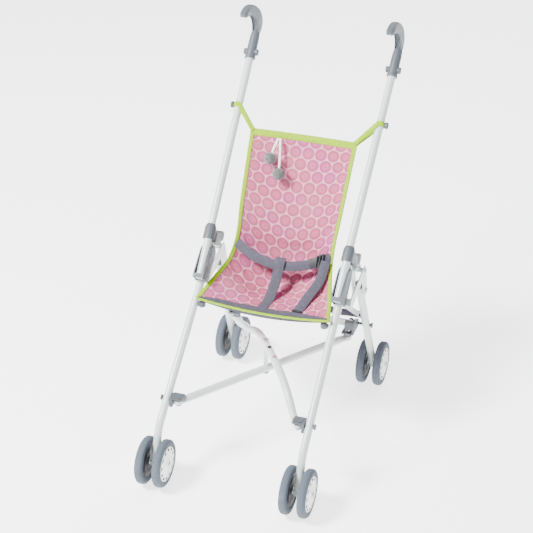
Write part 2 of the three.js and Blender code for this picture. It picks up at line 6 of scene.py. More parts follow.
import bmesh
import bpy
from mathutils import Matrix, Vector, noise

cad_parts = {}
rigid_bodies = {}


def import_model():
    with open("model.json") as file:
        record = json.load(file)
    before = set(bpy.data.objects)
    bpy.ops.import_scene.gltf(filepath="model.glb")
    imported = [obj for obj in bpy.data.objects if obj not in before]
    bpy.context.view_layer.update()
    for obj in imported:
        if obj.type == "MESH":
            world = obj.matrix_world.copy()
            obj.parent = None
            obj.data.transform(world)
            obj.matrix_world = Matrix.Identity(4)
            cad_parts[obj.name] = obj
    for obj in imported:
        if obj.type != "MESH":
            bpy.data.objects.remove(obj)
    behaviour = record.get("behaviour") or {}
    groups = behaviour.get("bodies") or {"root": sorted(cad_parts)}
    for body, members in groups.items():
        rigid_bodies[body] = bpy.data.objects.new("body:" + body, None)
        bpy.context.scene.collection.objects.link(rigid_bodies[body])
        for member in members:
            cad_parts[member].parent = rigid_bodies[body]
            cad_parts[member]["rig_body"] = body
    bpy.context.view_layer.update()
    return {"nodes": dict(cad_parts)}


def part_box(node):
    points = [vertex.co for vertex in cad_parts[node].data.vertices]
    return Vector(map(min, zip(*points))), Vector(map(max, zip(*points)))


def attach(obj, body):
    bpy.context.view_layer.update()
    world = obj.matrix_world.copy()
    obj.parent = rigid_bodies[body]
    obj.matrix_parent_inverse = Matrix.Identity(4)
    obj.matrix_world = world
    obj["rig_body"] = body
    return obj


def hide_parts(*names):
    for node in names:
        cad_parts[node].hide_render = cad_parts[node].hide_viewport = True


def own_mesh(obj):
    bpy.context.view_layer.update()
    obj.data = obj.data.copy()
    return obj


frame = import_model()

MM = 0.001
HANDS = (("right", 1), ("left", -1))
ENDS = ("front", "rear")
ACROSS = Vector((1, 0, 0))
UP = Vector((0, 0, 1))


def middle(node):
    low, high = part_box(node)
    return (low + high) / 2


# ---------- driving dimensions, in millimetres from the middle of the drawing ----------
AXLE_REACH = 170.7
SHIFT = middle("right_front_axle").y + AXLE_REACH * MM
TUBE_RADIUS = 5.6
SLOPE = math.radians(45.8)  # the handle tube's angle above level
FOOT = (100.8, 2.3, 231.0)  # the handle tube's axis at its lower end
TOE = 0.0175  # how much the side frame leans out for each mm along the tube
LEG_OFFSET = 13.0
HANDLE_TUBE_LENGTH = 362.0
SLEEVE_START = 336.0
SLEEVE_LENGTH = 38.0
LEG_TOP = Vector((107.0, 102.0, 198.0))
REAR_AXLE = Vector((112.6, 170.7, 33.8))
CROSS_HALF = 86.4
CROSS_REACH = 118.5
CROSS_CENTRE_Y = -2.0
CROSS_LEVEL = 105.0
CROSS_RADIUS = 5.5
CROSS_RISE = 41.0  # of the upper crossed tube over the lower one, at the centre rivet


def at(point):
    """A point of the drawing, in millimetres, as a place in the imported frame."""
    x, y, z = point
    return Vector((x * MM, y * MM + SHIFT, z * MM))


def drawn(place):
    """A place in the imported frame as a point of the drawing: the opposite of at()."""
    return Vector((place.x / MM, (place.y - SHIFT) / MM, place.z / MM))


def on_handle(along, back, x=None):
    across = FOOT[0] + TOE * along if x is None else x
    y = FOOT[1] + along * math.cos(SLOPE) + back * math.sin(SLOPE)
    z = FOOT[2] + along * math.sin(SLOPE) - back * math.cos(SLOPE)
    return Vector((across, y, z))


# ---------- camera ----------
def add_camera():
    azimuth = math.radians(18.793)
    elevation = math.radians(29.331)
    roll = math.radians(0.092)
    distance = 2.1406
    target = Vector((0, SHIFT, 0.2745))
    level = math.cos(elevation)
    way = Vector(
        (math.sin(azimuth) * level, -math.cos(azimuth) * level, math.sin(elevation))
    )
    data = bpy.data.cameras.new("camera")
    data.lens = 105.22
    data.sensor_width = 36
    data.shift_x = 0.0002
    data.shift_y = -0.0050
    camera = bpy.data.objects.new("camera", data)
    turn = way.to_track_quat("Z", "Y").to_matrix() @ Matrix.Rotation(roll, 3, "Z")
    camera.matrix_world = Matrix.Translation(target + way * distance) @ turn.to_4x4()
    bpy.context.scene.collection.objects.link(camera)
    bpy.context.scene.camera = camera


add_camera()


# ---------- materials ----------
class Shading:
    """A material's nodes, with short calls for what the materials below share."""

    def __init__(self, name, colour, roughness, metallic=0.0):
        self.material = bpy.data.materials.new(name)
        self.material.use_nodes = True
        self.material.diffuse_color = (*colour, 1)
        self.tree = self.material.node_tree
        self.shader = self.tree.nodes["Principled BSDF"]
        self.shader.inputs["Base Color"].default_value = (*colour, 1)
        self.shader.inputs["Roughness"].default_value = roughness
        self.shader.inputs["Metallic"].default_value = metallic

    def node(self, kind, **inputs):
        made = self.tree.nodes.new(kind)
        for name, value in inputs.items():
            socket = made.inputs[name.replace("_", " ")]
            self.feed(socket, value)
        return made

    def feed(self, socket, value):
        if isinstance(value, bpy.types.NodeSocket):
            self.tree.links.new(value, socket)
        else:
            socket.default_value = value

    def math(self, operation, a, b=0.0, c=0.0):
        made = self.tree.nodes.new("ShaderNodeMath")
        made.operation = operation
        for socket, value in zip(made.inputs, (a, b, c)):
            self.feed(socket, value)
        return made.outputs[0]

    def place(self, uv=False):
        made = self.tree.nodes.new("ShaderNodeTexCoord")
        return made.outputs["UV" if uv else "Object"]

    def noise(self, scale, detail=2.0, uv=False):
        made = self.node("ShaderNodeTexNoise", Vector=self.place(uv), Scale=scale, Detail=detail)
        return made.outputs["Fac"]

    def mix(self, factor, first, second):
        made = self.tree.nodes.new("ShaderNodeMix")
        made.data_type = "RGBA"
        self.feed(made.inputs[0], factor)
        for socket, value in ((made.inputs[6], first), (made.inputs[7], second)):
            if isinstance(value, bpy.types.NodeSocket):
                self.feed(socket, value)
            else:
                socket.default_value = (*value, 1)
        return made.outputs[2]

    def between(self, value, low, high, first=0.0, second=1.0):
        made = self.tree.nodes.new("ShaderNodeMapRange")
        made.interpolation_type = "SMOOTHSTEP"
        for socket, v in zip(made.inputs, (value, low, high, first, second)):
            self.feed(socket, v)
        return made.outputs[0]

    def bump(self, height, strength, distance, under=None):
        made = self.node("ShaderNodeBump", Height=height, Strength=strength, Distance=distance)
        if under is not None:
            self.tree.links.new(under, made.inputs["Normal"])
        return made.outputs["Normal"]

    def finish(self, colour=None, roughness=None, normal=None, **sockets):
        if colour is not None:
            self.tree.links.new(colour, self.shader.inputs["Base Color"])
        if roughness is not None:
            self.tree.links.new(roughness, self.shader.inputs["Roughness"])
        if normal is not None:
            self.tree.links.new(normal, self.shader.inputs["Normal"])
        for name, value in sockets.items():
            self.shader.inputs[name.replace("_", " ")].default_value = value
        return self.material


def shade(colour, factor):
    return tuple(min(c * factor, 1.0) for c in colour)


def powder_coat():
    colour = (0.60, 0.655, 0.65)
    s = Shading("white powder coat", colour, 0.32)
    cloud = s.noise(18, 3)
    tint = s.mix(s.between(cloud, 0.35, 0.7), colour, shade(colour, 0.95))
    peel = s.bump(s.noise(900, 1), 0.12, 0.0002)
    dull = s.between(s.noise(60, 4), 0.3, 0.75, 0.28, 0.42)
    return s.finish(tint, dull, peel, Coat_Weight=0.25, Coat_Roughness=0.15)


def moulded(name, colour, roughness, grain=1400):
    s = Shading(name, colour, roughness)
    cloud = s.noise(25, 3)
    tint = s.mix(s.between(cloud, 0.3, 0.75), shade(colour, 0.9), shade(colour, 1.1))
    leather = s.bump(s.noise(grain, 2), 0.35, 0.00025)
    flow = s.bump(s.noise(120, 2), 0.08, 0.0006, leather)
    dull = s.between(s.noise(90, 4), 0.3, 0.7, roughness - 0.08, roughness + 0.1)
    return s.finish(tint, dull, flow)


def foam_rubber():
    colour = (0.09, 0.11, 0.138)
    s = Shading("foam rubber", colour, 0.85)
    speck = s.noise(700, 4)
    scuff = s.noise(30, 4)
    tint = s.mix(s.between(speck, 0.3, 0.7), shade(colour, 0.86), shade(colour, 1.12))
    worn = s.mix(s.between(scuff, 0.55, 0.8), tint, shade(colour, 1.25))
    return s.finish(worn, None, s.bump(speck, 0.5, 0.0004), Specular_IOR_Level=0.3)


def zinc():
    colour = (0.56, 0.58, 0.60)
    s = Shading("zinc plate", colour, 0.34, 1.0)
    cloud = s.noise(80, 4)
    tint = s.mix(cloud, shade(colour, 0.85), shade(colour, 1.1))
    return s.finish(tint, s.between(s.noise(300, 4), 0.3, 0.7, 0.26, 0.45), None)


def woven(name, colour, pitch, ribbed=False, sheen=0.3, contrast=0.16):
    """Cloth whose threads follow its UV map, which is in metres."""
    s = Shading(name, colour, 0.85)
    split = s.node("ShaderNodeSeparateXYZ", Vector=s.place(uv=True))
    across = s.math("SINE", s.math("MULTIPLY", split.outputs[0], math.tau / pitch))
    along = s.math("SINE", s.math("MULTIPLY", split.outputs[1], math.tau / pitch))
    if ribbed:
        threads = s.math("ADD", s.math("ABSOLUTE", across), s.math("MULTIPLY", along, 0.35))
    else:
        threads = s.math("MULTIPLY", across, along)
    height = s.between(threads, -1.0, 1.2)
    slub = s.noise(160, 4, uv=True)
    tint = s.mix(height, shade(colour, 1 - contrast), shade(colour, 1 + contrast))
    worn = s.mix(s.between(slub, 0.35, 0.7), shade(colour, 0.93), tint)
    normal = s.bump(height, 0.5, pitch * 0.3)
    return s.finish(worn, None, normal, Sheen_Weight=sheen, Specular_IOR_Level=0.15)


def printed_cotton():
    """Pink cloth printed with close rows of round petals, each row offset by half."""
    disc = (0.46, 0.095, 0.175)
    plum = (0.43, 0.08, 0.23)
    line = (0.68, 0.29, 0.40)
    pitch = 0.0187
    row_pitch = 0.0165
    thread = 0.0009
    s = Shading("pink printed cotton", disc, 0.85)
    split = s.node("ShaderNodeSeparateXYZ", Vector=s.place(uv=True))

    def reach_in_grid(shift):
        """Distance from the nearest petal centre of one of the two sets of rows, over the pitch."""
        column = s.math("ADD", s.math("DIVIDE", split.outputs[0], pitch), shift)
        row = s.math("ADD", s.math("DIVIDE", split.outputs[1], 2 * row_pitch), shift)
        x = s.math("SUBTRACT", s.math("FRACT", column), 0.5)
        y = s.math("MULTIPLY", s.math("SUBTRACT", s.math("FRACT", row), 0.5), 2 * row_pitch / pitch)
        return s.math("SQRT", s.math("ADD", s.math("MULTIPLY", x, x), s.math("MULTIPLY", y, y)))

    reach = s.math("MINIMUM", reach_in_grid(0.0), reach_in_grid(0.5))

    def ring(radius, half, soft):
        away = s.math("ABSOLUTE", s.math("SUBTRACT", reach, radius))
        return s.between(away, half, half + soft, 1.0, 0.0)

    dyed = s.mix(s.between(s.noise(22, 2, uv=True), 0.45, 0.65), disc, plum)
    edge = s.mix(s.math("MULTIPLY", ring(0.385, 0.015, 0.035), 0.6), dyed, shade(disc, 0.62))
    seed = s.mix(s.math("MULTIPLY", ring(0.15, 0.012, 0.035), 0.35), edge, line)
    pattern = s.mix(s.between(reach, 0.455, 0.485), seed, line)
    faded = s.mix(s.between(s.noise(14, 3, uv=True), 0.35, 0.8, 0.0, 0.2), pattern, line)
    across = s.math("SINE", s.math("MULTIPLY", split.outputs[0], math.tau / thread))
    along = s.math("SINE", s.math("MULTIPLY", split.outputs[1], math.tau / thread))
    height = s.between(s.math("MULTIPLY", across, along), -1.0, 1.0)
    cloth = s.mix(s.math("MULTIPLY", height, 0.2), faded, shade(disc, 0.8))
    normal = s.bump(height, 0.4, 0.0002)
    return s.finish(cloth, None, normal, Specular_IOR_Level=0.15)


def felt():
    colour = (0.095, 0.108, 0.102)
    s = Shading("grey felt", colour, 0.95)
    tuft = s.noise(420, 5)
    tint = s.mix(s.between(tuft, 0.3, 0.7), shade(colour, 0.7), shade(colour, 1.35))
    return s.finish(tint, None, s.bump(tuft, 0.8, 0.0008), Sheen_Weight=0.6)


def satin():
    colour = (0.90, 0.87, 0.88)
    s = Shading("white satin ribbon", colour, 0.45)
    split = s.node("ShaderNodeSeparateXYZ", Vector=s.place(uv=True))
    thread = s.math("SINE", s.math("MULTIPLY", split.outputs[1], math.tau / 0.0005))
    tint = s.mix(s.noise(90, 3, uv=True), shade(colour, 0.9), colour)
    return s.finish(tint, None, s.bump(thread, 0.3, 0.0001), Sheen_Weight=0.3)


LOOKS = {
    "white_paint": powder_coat(),
    "wheel_white": moulded("white moulded plastic", (0.83, 0.86, 0.86), 0.4, 900),
    "grey_plastic": moulded("grey moulded plastic", (0.078, 0.093, 0.11), 0.5),
    "dark_plastic": moulded("dark moulded plastic", (0.022, 0.024, 0.031), 0.55),
    "tyre": foam_rubber(),
    "bare_steel": zinc(),
    "pink_print": printed_cotton(),
    "lime_binding": woven("lime binding tape", (0.30, 0.50, 0.0), 0.0011, True, 0.0, 0.08),
    "grey_webbing": woven("grey webbing", (0.078, 0.075, 0.10), 0.0014, True, 0.05, 0.25),
    "ribbon_white": satin(),
    "pompom_felt": felt(),
}
# Painted shade: a near-black colour for the slot floors, standing for the dark inside of the wheel's holes.
SLOT_SHADE = moulded("painted slot shade", (0.012, 0.013, 0.016), 0.7)


# ---------- mesh tools ----------
def new_object(name, vertices, faces, uvs=None):
    mesh = bpy.data.meshes.new(name)
    mesh.from_pydata([tuple(v) for v in vertices], [], faces)
    if uvs is not None:
        layer = mesh.uv_layers.new(name="metres")
        for loop in mesh.loops:
            layer.data[loop.index].uv = uvs[loop.vertex_index]
    mesh.validate()
    mesh.update()
    made = bpy.data.objects.new(name, mesh)
    bpy.context.scene.collection.objects.link(made)
    return made


def smooth(obj, angle=35):
    """Smooth shading, with edges sharper than the angle left crisp."""
    mesh = obj.data
    mesh.polygons.foreach_set("use_smooth", [True] * len(mesh.polygons))
    bm = bmesh.new()
    bm.from_mesh(mesh)
    limit = math.radians(angle)
    for edge in bm.edges:
        edge.smooth = len(edge.link_faces) == 2 and edge.calc_face_angle(0) < limit
    bm.to_mesh(mesh)
    bm.free()
    return obj


def bevel(obj, width, segments=2, angle=35):
    modifier = obj.modifiers.new("worn edges", "BEVEL")
    modifier.width = width * MM
    modifier.segments = segments
    modifier.limit_method = "ANGLE"
    modifier.angle_limit = math.radians(angle)
    modifier.harden_normals = True
    return obj


def finish_piece(obj, body, slot, *replaced):
    obj.data.materials.append(LOOKS[slot])
    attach(obj, body)
    if replaced:
        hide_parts(*replaced)
    return obj


def joined(name, parts):
    """Several objects made into one mesh."""
    bm = bmesh.new()
    for part in parts:
        part.data.transform(part.matrix_world)
        bm.from_mesh(part.data)
        bpy.data.objects.remove(part)
    mesh = bpy.data.meshes.new(name)
    bm.to_mesh(mesh)
    bm.free()
    made = bpy.data.objects.new(name, mesh)
    bpy.context.scene.collection.objects.link(made)
    return made


def circle(radius, sides=28):
    steps = [i / sides * math.tau for i in range(sides)]
    return [(radius * math.cos(a), radius * math.sin(a)) for a in steps]


def rounded(width, height, corner, steps=3):
    """A rectangle with round corners, as (across, up) points."""
    points = []
    for cx, cy, start in ((1, 1, 0), (-1, 1, 90), (-1, -1, 180), (1, -1, 270)):
        for i in range(steps + 1):
            a = math.radians(start + 90 * i / steps)
            x = cx * (width / 2 - corner) + corner * math.cos(a)
            y = cy * (height / 2 - corner) + corner * math.sin(a)
            points.append((x, y))
    return points


def skin(name, rows, uvs=None):
    """A closed solid through rows of points, each row a ring of the same count."""
    count = len(rows[0])
    faces = []
    for i in range(len(rows) - 1):
        low, high = i * count, (i + 1) * count
        for j in range(count):
            k = (j + 1) % count
            faces.append((low + j, low + k, high + k, high + j))
    last = (len(rows) - 1) * count
    faces.append(tuple(range(count - 1, -1, -1)))
    faces.append(tuple(range(last, last + count)))
    vertices = [spot for row in rows for spot in row]
    return facing_out(new_object(name, vertices, faces, uvs))


def sweep(name, points, outline, across, scales=None, mm=True):
    """A closed solid with that outline swept along the points.

    across is the direction of the outline's first axis, or one for each point.
    Points and outline are in millimetres of the drawing, or in metres if mm is False.
    """
    unit = MM if mm else 1
    rows, uvs = [], []
    travelled = 0.0
    rim = [0.0]
    for i in range(1, len(outline)):
        rim.append(rim[-1] + math.dist(outline[i - 1], outline[i]))
    for i, point in enumerate(points):
        before = points[max(i - 1, 0)]
        after = points[min(i + 1, len(points) - 1)]
        tangent = (after - before).normalized()
        side = across[i] if isinstance(across, list) else across
        normal = tangent.cross(side).normalized()
        side = normal.cross(tangent).normalized()
        wide, tall = scales[i] if scales else (1, 1)
        travelled += (point - before).length
        spots = [point + side * a * wide + normal * b * tall for a, b in outline]
        rows.append([at(spot) for spot in spots] if mm else spots)
        uvs += [(r * unit, travelled * unit) for r in rim]
    return skin(name, rows, uvs)


def facing_out(obj):
    bm = bmesh.new()
    bm.from_mesh(obj.data)
    bmesh.ops.recalc_face_normals(bm, faces=bm.faces)
    bm.to_mesh(obj.data)
    bm.free()
    return obj


def turned(name, profile, start, axis, sides=32):
    """A solid of revolution: profile is (distance along the axis, radius), in millimetres."""
    turn = axis.normalized().to_track_quat("Z", "Y").to_matrix()
    rows = []
    for distance, radius in profile:
        rows.append([at(start + turn @ Vector((x, y, distance))) for x, y in circle(radius, sides)])
    return skin(name, rows)


def curve_through(corners, steps):
    """Points on a smooth curve through the corners (centripetal Catmull-Rom)."""
    places = [2 * corners[0] - corners[1], *corners, 2 * corners[-1] - corners[-2]]
    points = []
    for step in range(steps + 1):
        t = step / steps * (len(corners) - 1)
        i = min(int(t), len(corners) - 2)
        points.append(catmull(places[i : i + 4], t - i))
    return points


def catmull(p, t):
    gaps = [max((p[i + 1] - p[i]).length, 1e-6) ** 0.5 for i in range(3)]
    a, b, c = gaps
    first = ((p[1] - p[0]) / a - (p[2] - p[0]) / (a + b) + (p[2] - p[1]) / b) * b
    second = ((p[2] - p[1]) / b - (p[3] - p[1]) / (b + c) + (p[3] - p[2]) / c) * b
    c2 = -3 * p[1] + 3 * p[2] - 2 * first - second
    c3 = 2 * p[1] - 2 * p[2] + first + second
    return p[1] + first * t + c2 * t * t + c3 * t * t * t


def bent(corners, reach, steps=8):
    """Straight runs between the corners, with each corner rounded."""
    route = [corners[0]]
    for i in range(1, len(corners) - 1):
        here = corners[i]
        start = here + (corners[i - 1] - here).normalized() * reach
        end = here + (corners[i + 1] - here).normalized() * reach
        for step in range(steps + 1):
            t = step / steps
            route.append(start * (1 - t) ** 2 + here * 2 * t * (1 - t) + end * t * t)
    route.append(corners[-1])
    return route


def handed(point, sign):
    return Vector((point.x * sign, point.y, point.z))


def refined(node, slot, width=0.5, segments=2):
    """The CAD node's shape with its edges rounded over, standing for the node."""
    source = frame["nodes"][node]
    made = bpy.data.objects.new("fine_" + node, source.data.copy())
    bpy.context.scene.collection.objects.link(made)
    made.data.materials.clear()
    bm = bmesh.new()
    bm.from_mesh(made.data)
    bmesh.ops.remove_doubles(bm, verts=bm.verts, dist=1e-5)
    bmesh.ops.dissolve_limit(bm, angle_limit=math.radians(1), verts=bm.verts, edges=bm.edges)
    bmesh.ops.recalc_face_normals(bm, faces=bm.faces)
    bm.to_mesh(made.data)
    bm.free()
    smooth(made, 38)
    bevel(made, width, segments, 38)
    return finish_piece(made, source["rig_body"], slot, node)


# ---------- tubes ----------
def add_tube(name, points, body, node):
    made = sweep(name, points, circle(TUBE_RADIUS), ACROSS)
    smooth(made, 50)
    bevel(made, 0.5, 2, 60)
    return finish_piece(made, body, "white_paint", node)


def add_side_tubes(hand, sign):
    body = hand + "_frame"
    straight = [handed(on_handle(d, 0), sign) for d in (0.5, 60, 200, HANDLE_TUBE_LENGTH)]
    add_tube(hand + "_handle_tube_smooth", straight, body, hand + "_handle_tube")

    corners = [
        on_handle(67.6, LEG_OFFSET),
        on_handle(3, LEG_OFFSET, 101.4),
        Vector((103.3, -153, 81.5)),
        Vector((103.5, -AXLE_REACH - 1.9, 28.8)),
    ]
    route = bent([handed(c, sign) for c in corners], 10)
    add_tube(hand + "_front_leg_smooth", route, body, hand + "_front_leg")

    def on_rear_leg(z):
        share = (LEG_TOP.z - z) / (LEG_TOP.z - REAR_AXLE.z)
        point = LEG_TOP.lerp(REAR_AXLE, share)
        return handed(Vector((point.x, point.y, z)), sign)

    heights = (204, 150, 80, 45, 27.8)
    leg = [on_rear_leg(z) for z in heights]
    add_tube(hand + "_rear_leg_smooth", leg, hand + "_rear_leg", hand + "_rear_leg")


def on_cross(sideways, share, rise=0.0):
    """A place on a crossed tube's axis, share of the way from its front end to its rear end."""
    x = sideways * CROSS_HALF * (1 - 2 * share)
    y = CROSS_CENTRE_Y - CROSS_REACH + 2 * CROSS_REACH * share
    return Vector((x, y, CROSS_LEVEL + rise))


def add_cross_tube(name, sideways, rises):
    """A tube with flattened ends; rises are (share of the way back, height over the ends)."""
    body = "cross_" + name
    route = curve_through([on_cross(sideways, *pair) for pair in rises], 90)
    scales = [(1, 1)] * len(route)
    for i, scale in enumerate(((1.22, 0.6), (1.2, 0.64), (1.12, 0.78), (1.04, 0.93))):
        scales[i] = scales[-1 - i] = scale
    way = (route[-1] - route[0]).normalized()
    side = way.cross(UP).normalized()
    parts = [sweep("tube", route, circle(CROSS_RADIUS), side, scales)]
    for end in (0, 1):
        pad = [(-3.0, 5.6), (-2.6, 6.2), (2.6, 6.2), (3.0, 5.6)]
        parts.append(turned("end", pad, on_cross(sideways, end), UP))
    stub = [(0, 2.2), (11.8, 2.2), (12.6, 1.8)]
    parts.append(turned("stub", stub, on_cross(sideways, 1), UP))
    made = smooth(joined(name + "_cross_tube", parts), 50)
    finish_piece(made, body, "white_paint", "cross_tube_" + name)


def add_cross_tubes():
    add_cross_tube("lower", -1, ((0.02, 0), (0.3, 0), (0.7, 0), (0.98, 0)))
    rises = (
        (0.02, 0), (0.055, 0), (0.14, 18), (0.22, 30), (0.33, 38), (0.5, CROSS_RISE),
        (0.6, 40), (0.68, 32), (0.77, 18.5), (0.87, 8), (0.945, 0), (0.98, 0),
    )
    add_cross_tube("upper", 1, rises)
    # Two marks on the upper tube: a zinc disc, and a dark plastic disc that is painted shade standing for
    # the dark inside of a hole.
    for share, rise, slot in ((0.36, 39, "bare_steel"), (0.44, CROSS_RISE, "dark_plastic")):
        spot = on_cross(1, share, rise + CROSS_RADIUS - 0.8)
        mark = turned("cross_tube_mark_and_hole_shade", [(0, 3.2), (0.9, 3.2), (1.2, 2.2)], spot, UP, 20)
        finish_piece(smooth(mark), "cross_upper", slot)


# ---------- handles ----------
# The hook's edges in side view, as (y, z): outer and inner edge at each station from the tip.
HOOK_STATIONS = (
    ((208.5, 549.0), (211.0, 543.5)),
    ((218.0, 554.0), (219.0, 542.4)),
    ((236.0, 554.6), (233.0, 539.6)),
    ((260.0, 545.0), (248.0, 533.5)),
    ((279.0, 530.0), (258.0, 522.5)),
    ((286.0, 513.0), (260.8, 514.0)),
    ((281.0, 503.5), (261.3, 508.5)),
    ((272.0, 499.0), (262.0, 504.5)),
)
# The hook's section: (sideways, from -1 at the outer edge to 1 at the inner edge). The inner
# side has a shallow groove along its middle.
HOOK_SECTION = (
    (5.5, 0.45), (4.9, 0.92), (3.7, 1.0), (3.3, 0.7), (-3.3, 0.7), (-3.7, 1.0), (-4.9, 0.92),
    (-5.5, 0.45), (-5.5, -0.45), (-4.4, -0.86), (-2.2, -1.0), (2.2, -1.0), (4.4, -0.86),
    (5.5, -0.45),
)
TIP_WIDTH = 0.72  # share of the hook's width at its very tip


def make_hook(x):
    outer, inner = (
        curve_through([Vector((x, *station[edge])) for station in HOOK_STATIONS], 56)
        for edge in (0, 1)
    )
    rows = []
    for i, (back, front) in enumerate(zip(outer, inner)):
        narrow = TIP_WIDTH + (1 - TIP_WIDTH) * min(i / 4, 1)
        centre, reach = (back + front) / 2, (front - back) / 2
        rows.append([at(centre + ACROSS * a * narrow + reach * b) for a, b in HOOK_SECTION])
    return skin("hook", rows)


def add_handle(hand, sign):
    x = on_handle(SLEEVE_START + 30, 0).x * sign
    axis = handed(on_handle(1, 0) - on_handle(0, 0), sign)
    foot = handed(on_handle(SLEEVE_START, 0), sign)
    end = SLEEVE_LENGTH
    profile = [(0, 6.0), (0, 7.4), (0.6, 7.8), (3.4, 7.8), (4.0, 7.3), (end - 6, 7.0)]
    profile += [(end + 2, 6.4), (end + 8, 5.2), (end + 11, 3.5)]
    sleeve = turned("sleeve", profile, foot, axis)
    boss_at = handed(on_handle(SLEEVE_START + 11, 0), sign)
    boss = turned("boss", [(-11, 3.6), (-10.3, 4.7), (10.3, 4.7), (11, 3.6)], boss_at, ACROSS, 24)
    made = smooth(joined(hand + "_handle_grip", [make_hook(x), sleeve, boss]), 32)
    bevel(made, 0.45, 2, 32)
    finish_piece(made, hand + "_frame", "grey_plastic", hand + "_handle")
    for side in (-1, 1):
        start = boss_at + ACROSS * side * 10.7
        profile = [(0, 2.6), (0.5, 2.6), (0.8, 2.2), (0.6, 1.1), (0.2, 1.0)]
        screw = smooth(turned(hand + "_handle_screw", profile, start, ACROSS * side, 20), 30)
        finish_piece(screw, hand + "_frame", "bare_steel")


# ---------- wheels ----------
WHEEL_SLOTS = 12
STEPS_PER_SLOT = 8  # faces round the hub for each slot, of which the middle four are sunk
SLOT_DEPTH = 2.4
SLOT_BAND = (19.4, 22.8)  # the slots' inner and outer radius
WHEEL_HALF = 5.9  # half a wheel's width


def lathe_x(name, profile, sides, centre, side):
    """A ring or disc about X: profile is (radius, distance outwards), closed on itself."""
    vertices, faces = [], []
    count = len(profile)
    for i in range(sides):
        a = i / sides * math.tau
        for radius, out in profile:
            spoke = Vector((side * out, radius * math.sin(a), radius * math.cos(a)))
            vertices.append(centre + spoke * MM)
    for i in range(sides):
        row, following = i * count, (i + 1) % sides * count
        for j in range(count):
            k = (j + 1) % count
            faces.append((row + j, row + k, following + k, following + j))
    return facing_out(new_object(name, vertices, faces))


def sink_slots(disc, centre, side):
    """Presses the ring of slots into the hub's outer face, with the second material in them: near-black
    painted shade that stands for the dark inside of the holes.
    """
    sides = WHEEL_SLOTS * STEPS_PER_SLOT
    band = sum(SLOT_BAND) / 2
    bm = bmesh.new()
    bm.from_mesh(disc.data)
    slots = []
    for face in bm.faces:
        offset = face.calc_center_median() - centre
        on_band = abs(math.hypot(offset.y, offset.z) / MM - band) < 0.8
        outwards = offset.x * side > WHEEL_HALF / 2 * MM
        step = int(math.atan2(offset.y, offset.z) / math.tau * sides % STEPS_PER_SLOT)
        if on_band and outwards and step in (2, 3, 4, 5):
            slots.append(face)
    plain = set(bm.faces)
    made = bmesh.ops.extrude_face_region(bm, geom=slots)
    moved = [v for v in made["geom"] if isinstance(v, bmesh.types.BMVert)]
    bmesh.ops.translate(bm, verts=moved, vec=Vector((-side * SLOT_DEPTH * MM, 0, 0)))
    for face in set(bm.faces) - plain:
        face.material_index = 1
    bmesh.ops.delete(bm, geom=slots, context="FACES_ONLY")
    bmesh.ops.recalc_face_normals(bm, faces=bm.faces)
    bm.to_mesh(disc.data)
    bm.free()


def add_wheel(name, side):
    """A foam tyre on a white hub, with a ribbed dark inner face that is painted shade between the paired
    wheels; side is which way it looks.
    """
    body = name + "_wheel"
    centre = middle(name + "_tyre")
    half = WHEEL_HALF
    tread = [
        (24.9, -half + 0.5), (26.5, -half + 0.1), (29.4, -half), (31.6, -half + 0.5),
        (33.2, -half + 1.9), (33.8, -half + 3.9), (33.8, half - 3.9), (33.2, half - 1.9),
        (31.6, half - 0.5), (29.4, half), (26.5, half - 0.1), (24.9, half - 0.5),
    ]
    tyre = smooth(lathe_x(name + "_tyre_smooth", tread, 72, centre, side), 40)
    finish_piece(tyre, body, "tyre", name + "_tyre")

    low, high = SLOT_BAND
    hub = [
        (24.7, -half + 1.3), (24.7, half - 0.9), (24.2, half - 0.3), (23.2, half - 0.2),
        (high, half - 0.5), (low, half - 0.1), (18.6, half + 0.2), (12.0, half + 1.1),
        (9.6, half + 1.4), (9.0, half + 1.0), (7.6, half + 1.0), (7.0, half + 1.7),
        (5.4, half + 1.9), (2.8, half + 1.9), (2.8, -half), (5.0, -half), (5.6, half - 3.4),
        (22.9, half - 3.6), (23.0, -half + 1.5),
    ]
    disc = lathe_x(name + "_hub_disc", hub, WHEEL_SLOTS * STEPS_PER_SLOT, centre, side)
    sink_slots(disc, centre, side)
    smooth(disc, 32)
    finish_piece(disc, body, "wheel_white", name + "_hub")
    # The second material is painted shade on the slot floors.
    disc.data.materials.append(SLOT_SHADE)

    # Painted shade: a near-black ribbed disc on the inner face, standing for the shade between the two
    # wheels of a pair.
    ribs = [
        (5.2, -half - 0.1), (12, -half + 1.6), (14, -half + 0.8), (20, -half + 0.7),
        (21, -half + 1.4), (24.5, -half + 1.1), (24.5, -half + 2), (5.2, -half + 2),
    ]
    inner_shade = lathe_x(name + "_inner_face_shade", ribs, 48, centre, side)
    finish_piece(smooth(inner_shade, 40), body, "dark_plastic")


def add_axle(hand, end):
    node = f"{hand}_{end}_axle"
    body = hand + ("_frame" if end == "front" else "_rear_leg")
    spot = drawn(middle(node))
    low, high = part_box(node)
    half = (high.x - low.x) / 2 / MM
    profile = [(-half, 1.2), (-half + 0.3, 3.0), (-half + 1.2, 3.8), (-half + 1.9, 3.8), (-half + 1.9, 2.2)]
    profile += [(-d, r) for d, r in reversed(profile)]
    axle = turned(node + "_smooth", profile, spot, Vector((1, 0, 0)), 24)
    finish_piece(smooth(axle, 32), body, "bare_steel", node)


# ---------- cloth ----------
SLING_EDGE = [
    Vector(p)
    for p in (
        (97, -20, 212.5), (88, 18, 224), (76.5, 58, 240),
        (72.5, 80, 265), (75, 108, 311), (78.5, 164, 396),
    )
]
SLING_MIDDLE = [
    Vector(p)
    for p in ((0, -22, 207), (0, 20, 205), (0, 64, 207), (0, 92, 232), (0, 112, 290), (0, 166, 396))
]
ACROSS_STEPS = 56
UP_STEPS = 90
SETTLE_STEPS = 22
MOST_SAG = 3.2  # how far the simulation may move a point of the cloth
RISE_KEPT = 0.35  # share of an upward move that is kept


